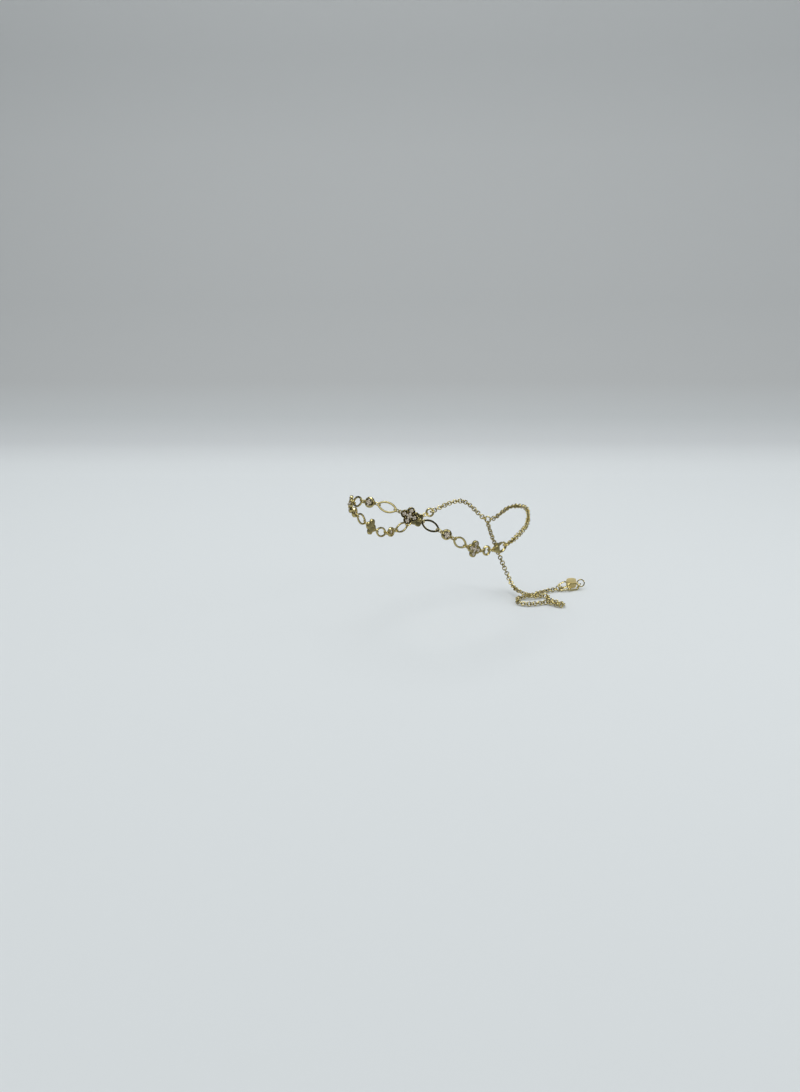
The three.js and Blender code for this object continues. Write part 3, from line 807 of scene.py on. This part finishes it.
def add_row_piece(kind, shape, place):
    """Adds a piece under the next number of its kind, with its stones."""
    counts[kind] += 1
    node = f"{kind}_{counts[kind]}"
    add_piece(f"{node}_polished", shape, GOLD, [node])
    if kind == "clover":
        add_stone(f"{node}_stones", moved(CLOVER_STONES, *place), node)
    if kind == "bezel":
        stone = f"round_stone_{counts[kind]}"
        add_stone(f"{stone}_cut", moved(BEZEL_STONE, *place), stone)


middle_index = index_at_bearing(ROW_MIDDLE_BEARING)
middle_start = (middle_index, line_point(middle_index))
middle_ends = [walk(middle_start, CLOVER["hold"], direction) for direction in (-1, 1)]
middle_place = frame_between(middle_ends[0][1], middle_ends[1][1])
add_row_piece("clover", moved(SHAPES["clover"], *middle_place), middle_place)


def add_connector(start, direction):
    pitch, roll = CONNECTOR["pitch"], CONNECTOR["roll"]
    link, end, place = set_along(CONNECTOR_SHAPE, start, pitch, direction, roll)
    add_row_piece("connector", link, place)
    return end


def add_row_side(start, direction):
    """Adds the row's pieces from its middle clover to one end, and gives where they end."""
    at = start
    for kind in ROW_SIDE:
        at = add_connector(at, direction)
        shape, at, place = set_along(SHAPES[kind], at, 2 * HOLDS[kind], direction)
        add_row_piece(kind, shape, place)
    return add_connector(at, direction)


inner_end = add_row_side(middle_ends[0], -1)
outer_end = add_row_side(middle_ends[1], 1)


# The rings and the clasp.
def across_ring(size):
    return moved(ring(size["radius"], size["wire"]), turn=ACROSS)


def add_gold(node, shape, body="anklet"):
    add_piece(f"{node}_polished", shape, GOLD, [node], body)


def add_ring(node, shape, start, length, direction=1):
    """Adds a ring that begins at a holding point, and gives the point where it ends."""
    placed, end = set_along(shape, start, length, direction)[:2]
    add_gold(node, placed)
    return end


end_ring = ring(END_RING["radius"], END_RING["wire"], 48, 20, END_RING["depth"])
ring_span = END_RING["hold"] + END_RING["reach"]
inner_ring_end = add_ring("inner_ring", end_ring, inner_end, ring_span, -1)
outer_ring_end = add_ring("outer_ring", end_ring, outer_end, ring_span)
jump_span = 2 * JUMP_RING["radius"]
clasp_start = add_ring("jump_ring", across_ring(JUMP_RING), outer_ring_end, jump_span)
clasp_end = walk(clasp_start, CLASP["hold"], 1)
clasp_turn = frame_between(clasp_start[1], clasp_end[1])[1]
add_gold("clasp_body", moved(clasp_body(), clasp_start[1], clasp_turn))
add_gold("clasp_lever", moved(clasp_lever(), clasp_start[1], clasp_turn), "clasp_lever")
chain_span = 2 * CHAIN_RING["radius"]
chain_start = add_ring("chain_ring", across_ring(CHAIN_RING), clasp_end, chain_span)

junction_index = index_at_bearing(JUNCTION_BEARING)
junction = line_point(junction_index)
back_ends = [walk((junction_index, junction), BACK_RING["radius"], d) for d in (-1, 1)]
back_turn = frame_between(back_ends[0][1], back_ends[1][1])[1]
add_gold("back_ring", moved(ring(BACK_RING["radius"], BACK_RING["wire"]), junction, back_turn))


# The fine chain: round links, each a quarter turn from the next, that interlock.
def chain_links(line, normals, end_wires):
    """Links along a line between two rings. Normals are those of the first and last link.

    Their number is odd, so that the first and the last face the same way.
    """
    line = np.array(line)
    steps = np.linalg.norm(np.diff(line, axis=0), axis=1)
    lengths = np.concatenate([[0], np.cumsum(steps)])
    inside = LINK["radius"] - LINK["wire"]
    first = inside - end_wires[0]
    last = lengths[-1] - (inside - end_wires[1])
    count = math.ceil((last - first) / (2 * inside)) + 1
    at = np.linspace(first, last, count + (count + 1) % 2)
    centres = np.column_stack([np.interp(at, lengths, line[:, axis]) for axis in range(3)])
    tangents = np.gradient(centres, axis=0)
    tangents /= np.linalg.norm(tangents, axis=1)[:, None]
    normal = np.array(normals[0], float)
    carried = []
    for tangent in tangents:
        normal = normal - (normal @ tangent) * tangent
        normal /= np.linalg.norm(normal)
        carried.append(normal)
    wanted = np.array(normals[1], float)
    wanted -= (wanted @ tangents[-1]) * tangents[-1]
    across = np.cross(tangents[-1], carried[-1])
    miss = math.atan2(wanted @ across, wanted @ carried[-1])
    miss = (miss + math.pi / 2) % math.pi - math.pi / 2
    link = ring(LINK["radius"], LINK["wire"], 24, 10)
    shapes = []
    for i, (centre, tangent, normal) in enumerate(zip(centres, tangents, carried)):
        share = i / (len(at) - 1)
        lift = math.pi / 4 * min(1.0, share / LINK["settling"], (1 - share) / LINK["settling"])
        sway = LINK["sway"] * math.sin(LINK["sway_step"] * i) * lift
        roll = miss * share + lift + (i % 2) * math.pi / 2 + sway
        side = np.cross(tangent, normal)
        facing = normal * math.cos(roll) + side * math.sin(roll)
        turn = Matrix(np.column_stack([tangent, np.cross(facing, tangent), facing]).tolist())
        shapes.append(moved(link, centre, turn))
    return together(*shapes)


def loop_stretch(start, end, clear=8, stride=4):
    """Some of the loop's points between two holding points, clear of both, and the two."""
    count = (end[0] - start[0]) % len(loop_line)
    between = [line_point(start[0] + step) for step in range(clear, count - clear, stride)]
    return [start[1], *between, end[1]]


UPRIGHT = (0, 0, 1)
add_gold(
    "outer_chain",
    chain_links(
        loop_stretch(chain_start, back_ends[0]),
        (UPRIGHT, UPRIGHT),
        (CHAIN_RING["wire"], BACK_RING["wire"]),
    ),
)
add_gold(
    "inner_chain",
    chain_links(
        loop_stretch(back_ends[1], inner_ring_end),
        (UPRIGHT, UPRIGHT),
        (BACK_RING["wire"], END_RING["wire"]),
    ),
)


# The loose end.
def laid(name):
    """The middle and the turn of a piece at the loose end."""
    middle, heading, rise, lean = END_PLACES[name]
    turn = (
        Matrix.Rotation(math.radians(heading), 3, "Z")
        @ Matrix.Rotation(math.radians(-rise), 3, "Y")
        @ Matrix.Rotation(math.radians(lean), 3, "X")
    )
    return np.array(middle), turn


ring_middle, ring_turn = laid("tail_ring")
chain_drop = math.asin((ring_middle[2] - LYING) / TAIL_RING["radius"])
ring_near = Vector((math.cos(chain_drop), math.sin(chain_drop), 0)) * TAIL_RING["radius"]
chain_foot = ring_middle - np.array(ring_turn @ ring_near)
ring_bottom = junction - np.array(back_turn.col[1]) * BACK_RING["radius"]
tail_line = np.vstack([ring_bottom, curve_points(TAIL_ROUTE, False, 12)[2:-2], chain_foot])
add_gold(
    "tail_chain",
    chain_links(tail_line, (back_turn.col[0], UPRIGHT), (BACK_RING["wire"], TAIL_RING["wire"])),
)
add_gold("tail_ring", moved(ring(TAIL_RING["radius"], TAIL_RING["wire"]), ring_middle, ring_turn))
end_link = sweep(
    oval_path(END_LINK["length"], END_LINK["width"], END_LINK["wire"], 22, 10),
    wire_section(END_LINK["wire"], END_LINK["wire"], 18),
)
for node in ("end_link_1", "end_link_2", "end_link_3"):
    add_gold(node, moved(end_link, *laid(node)))
tag_middle, tag_turn = laid("tag")
add_piece("tag_satin", moved(bare_tag(), tag_middle, tag_turn), SATIN, ["tag"])
ring_offset = Vector((TAG_EYELET["x"] + TAG_RING["radius"], 0, 0))
tag_ring_middle = tag_middle + np.array(tag_turn @ ring_offset)
add_gold("tag_ring", moved(ring(TAG_RING["radius"], TAG_RING["wire"]), tag_ring_middle, tag_turn))
link_turn = TAG_LINK["turn"]
link_offset = Vector(
    (
        TAG_EYELET["x"] + TAG_RING["radius"] * (1 - math.cos(link_turn)),
        -TAG_RING["radius"] * math.sin(link_turn),
        TAG_LINK["forward"],
    )
)
tag_link = moved(across_ring(TAG_LINK), link_offset, Matrix.Rotation(link_turn, 3, "Z"))
add_gold("tag_link", moved(tag_link, tag_middle, tag_turn))

# Floor and backdrop, in mm: one sweep of paper that curves up behind, across the camera's line.
# Its colour is painted darker from the floor to the height of TONE_TOP, as painted shade.
STAGE = {"front": -1500, "wall": 590, "bend": 300, "height": 1200, "half_width": 2200, "gap": 0.1}
TONE_TOP = 250
PAPER_ROUGHNESS = 0.85
PAPER_TONES_AND_PAINTED_SHADE = [
    (0.0, (0.79, 0.825, 0.84)),
    (0.03, (0.62, 0.645, 0.66)),
    (0.07, (0.53, 0.555, 0.565)),
    (0.14, (0.465, 0.48, 0.485)),
    (0.33, (0.445, 0.46, 0.465)),
    (0.75, (0.47, 0.485, 0.49)),
    (1.0, (0.46, 0.475, 0.48)),
]


def stage_sweep():
    profile = [(STAGE["front"], 0.0), (STAGE["wall"] - STAGE["bend"], 0.0)]
    for turn in np.linspace(0, math.pi / 2, 17)[1:]:
        profile.append(
            (
                STAGE["wall"] - STAGE["bend"] * (1 - math.sin(turn)),
                STAGE["bend"] * (1 - math.cos(turn)),
            )
        )
    profile.append((STAGE["wall"], STAGE["height"]))
    away = -Vector((back.x, back.y, 0)).normalized()
    points, faces = [], []
    for distance, height in profile:
        for side in (-1, 1):
            at = away * distance + right * side * STAGE["half_width"]
            points.append((at.x * MM, at.y * MM, (FLOOR - STAGE["gap"] + height) * MM))
    for i in range(len(profile) - 1):
        faces.append((2 * i, 2 * i + 1, 2 * i + 3, 2 * i + 2))
    mesh = bpy.data.meshes.new("backdrop")
    mesh.from_pydata(points, [], faces)
    for face in mesh.polygons:
        face.use_smooth = True
    backdrop = bpy.data.objects.new("backdrop", mesh)
    bpy.context.scene.collection.objects.link(backdrop)
    material, tree, shader = new_material("paper")
    place = tree.nodes.new("ShaderNodeTexCoord").outputs["Object"]
    height = tree.nodes.new("ShaderNodeSeparateXYZ")
    tree.links.new(place, height.inputs["Vector"])
    rise = tree.nodes.new("ShaderNodeMapRange")
    rise.inputs["From Min"].default_value = FLOOR * MM
    rise.inputs["From Max"].default_value = TONE_TOP * MM
    tree.links.new(height.outputs["Z"], rise.inputs["Value"])
    # Painted shade: the paper is even on the floor and painted darker up the bend and the wall.
    tone = ramp(tree, rise.outputs["Result"], PAPER_TONES_AND_PAINTED_SHADE)
    tree.links.new(tone, shader.inputs["Base Color"])
    shader.inputs["Roughness"].default_value = PAPER_ROUGHNESS
    mesh.materials.append(material)
    # The metal mirrors the studio's sky and lamps, and not the paper.
    backdrop.visible_glossy = False


stage_sweep()


# Light: soft boxes above, in front and at the right, each with its direction from the ankle's
# axis, its size in metres and its power in watts.
LAMP_DISTANCE = 0.9
LAMPS = {
    "top_light": ((-0.25, 0.1, 1.0), (0.55, 0.55), 3.3),
    "front_light": ((0.28, -0.93, 0.38), (0.35, 0.5), 0.38),
    "right_light": ((1.0, 0.55, 0.5), (0.25, 0.4), 1.4),
}


def add_softbox(name, direction, size, power):
    data = bpy.data.lights.new(name, "AREA")
    data.shape = "RECTANGLE"
    data.size, data.size_y = size
    data.energy = power
    lamp = bpy.data.objects.new(name, data)
    away = Vector(direction).normalized()
    lamp.rotation_mode = "QUATERNION"
    lamp.rotation_quaternion = away.to_track_quat("Z", "Y")
    lamp.location = away * LAMP_DISTANCE
    bpy.context.scene.collection.objects.link(lamp)


for lamp_name, settings in LAMPS.items():
    add_softbox(lamp_name, *settings)


# The sky is even for all but mirror reflections. For those it is light above and below and dark at
# the level. It is darkest within near degrees of one side, and has its own tone past far degrees.
SOFT_SKY = (0.52, 0.535, 0.54)
SKY_TONES = [
    (0.0, (0.40, 0.41, 0.415)),
    (0.3, (0.31, 0.32, 0.325)),
    (0.42, (0.10, 0.105, 0.11)),
    (0.48, (0.05, 0.055, 0.055)),
    (0.62, (0.07, 0.075, 0.08)),
    (0.8, (0.22, 0.23, 0.23)),
    (1.0, (0.45, 0.46, 0.46)),
]
DARK_SIDE = {"direction": (0.75, -0.65, 0.1), "near": 28, "far": 50}
DARK_TONE = (0.012, 0.012, 0.014)


def toward(tree, view_direction, direction, near, far):
    """One within near degrees of a direction, falling to nothing at far degrees."""
    dot = tree.nodes.new("ShaderNodeVectorMath")
    dot.operation = "DOT_PRODUCT"
    dot.inputs[1].default_value = Vector(direction).normalized()
    tree.links.new(view_direction, dot.inputs[0])
    share = tree.nodes.new("ShaderNodeMapRange")
    share.interpolation_type = "SMOOTHSTEP"
    share.inputs["From Min"].default_value = math.cos(math.radians(far))
    share.inputs["From Max"].default_value = math.cos(math.radians(near))
    tree.links.new(dot.outputs["Value"], share.inputs["Value"])
    return share.outputs["Result"]


def blended(tree, color, share, shade):
    """The colour, turned into the shade where share is one."""
    mix = tree.nodes.new("ShaderNodeMix")
    mix.data_type = "RGBA"
    tree.links.new(share, mix.inputs["Factor"])
    mix.inputs["B"].default_value = (*shade, 1)
    sockets = [socket for socket in mix.inputs if socket.name == "A" and socket.type == "RGBA"]
    tree.links.new(color, sockets[0])
    return next(socket for socket in mix.outputs if socket.type == "RGBA")


def studio_sky():
    world = bpy.data.worlds.new("studio")
    bpy.context.scene.world = world
    world.use_nodes = True
    tree = world.node_tree
    view_direction = tree.nodes.new("ShaderNodeTexCoord").outputs["Generated"]
    parts = tree.nodes.new("ShaderNodeSeparateXYZ")
    tree.links.new(view_direction, parts.inputs["Vector"])
    height = tree.nodes.new("ShaderNodeMapRange")
    height.inputs["From Min"].default_value = -1.0
    tree.links.new(parts.outputs["Z"], height.inputs["Value"])
    color = ramp(tree, height.outputs["Result"], SKY_TONES)
    color = blended(tree, color, toward(tree, view_direction, **DARK_SIDE), DARK_TONE)
    glossy = tree.nodes.new("ShaderNodeLightPath").outputs["Is Glossy Ray"]
    plain = tree.nodes.new("ShaderNodeMath")
    plain.operation = "SUBTRACT"
    plain.inputs[0].default_value = 1.0
    tree.links.new(glossy, plain.inputs[1])
    color = blended(tree, color, plain.outputs["Value"], SOFT_SKY)
    tree.links.new(color, tree.nodes["Background"].inputs["Color"])


studio_sky()
bpy.context.scene.view_settings.view_transform = "Standard"
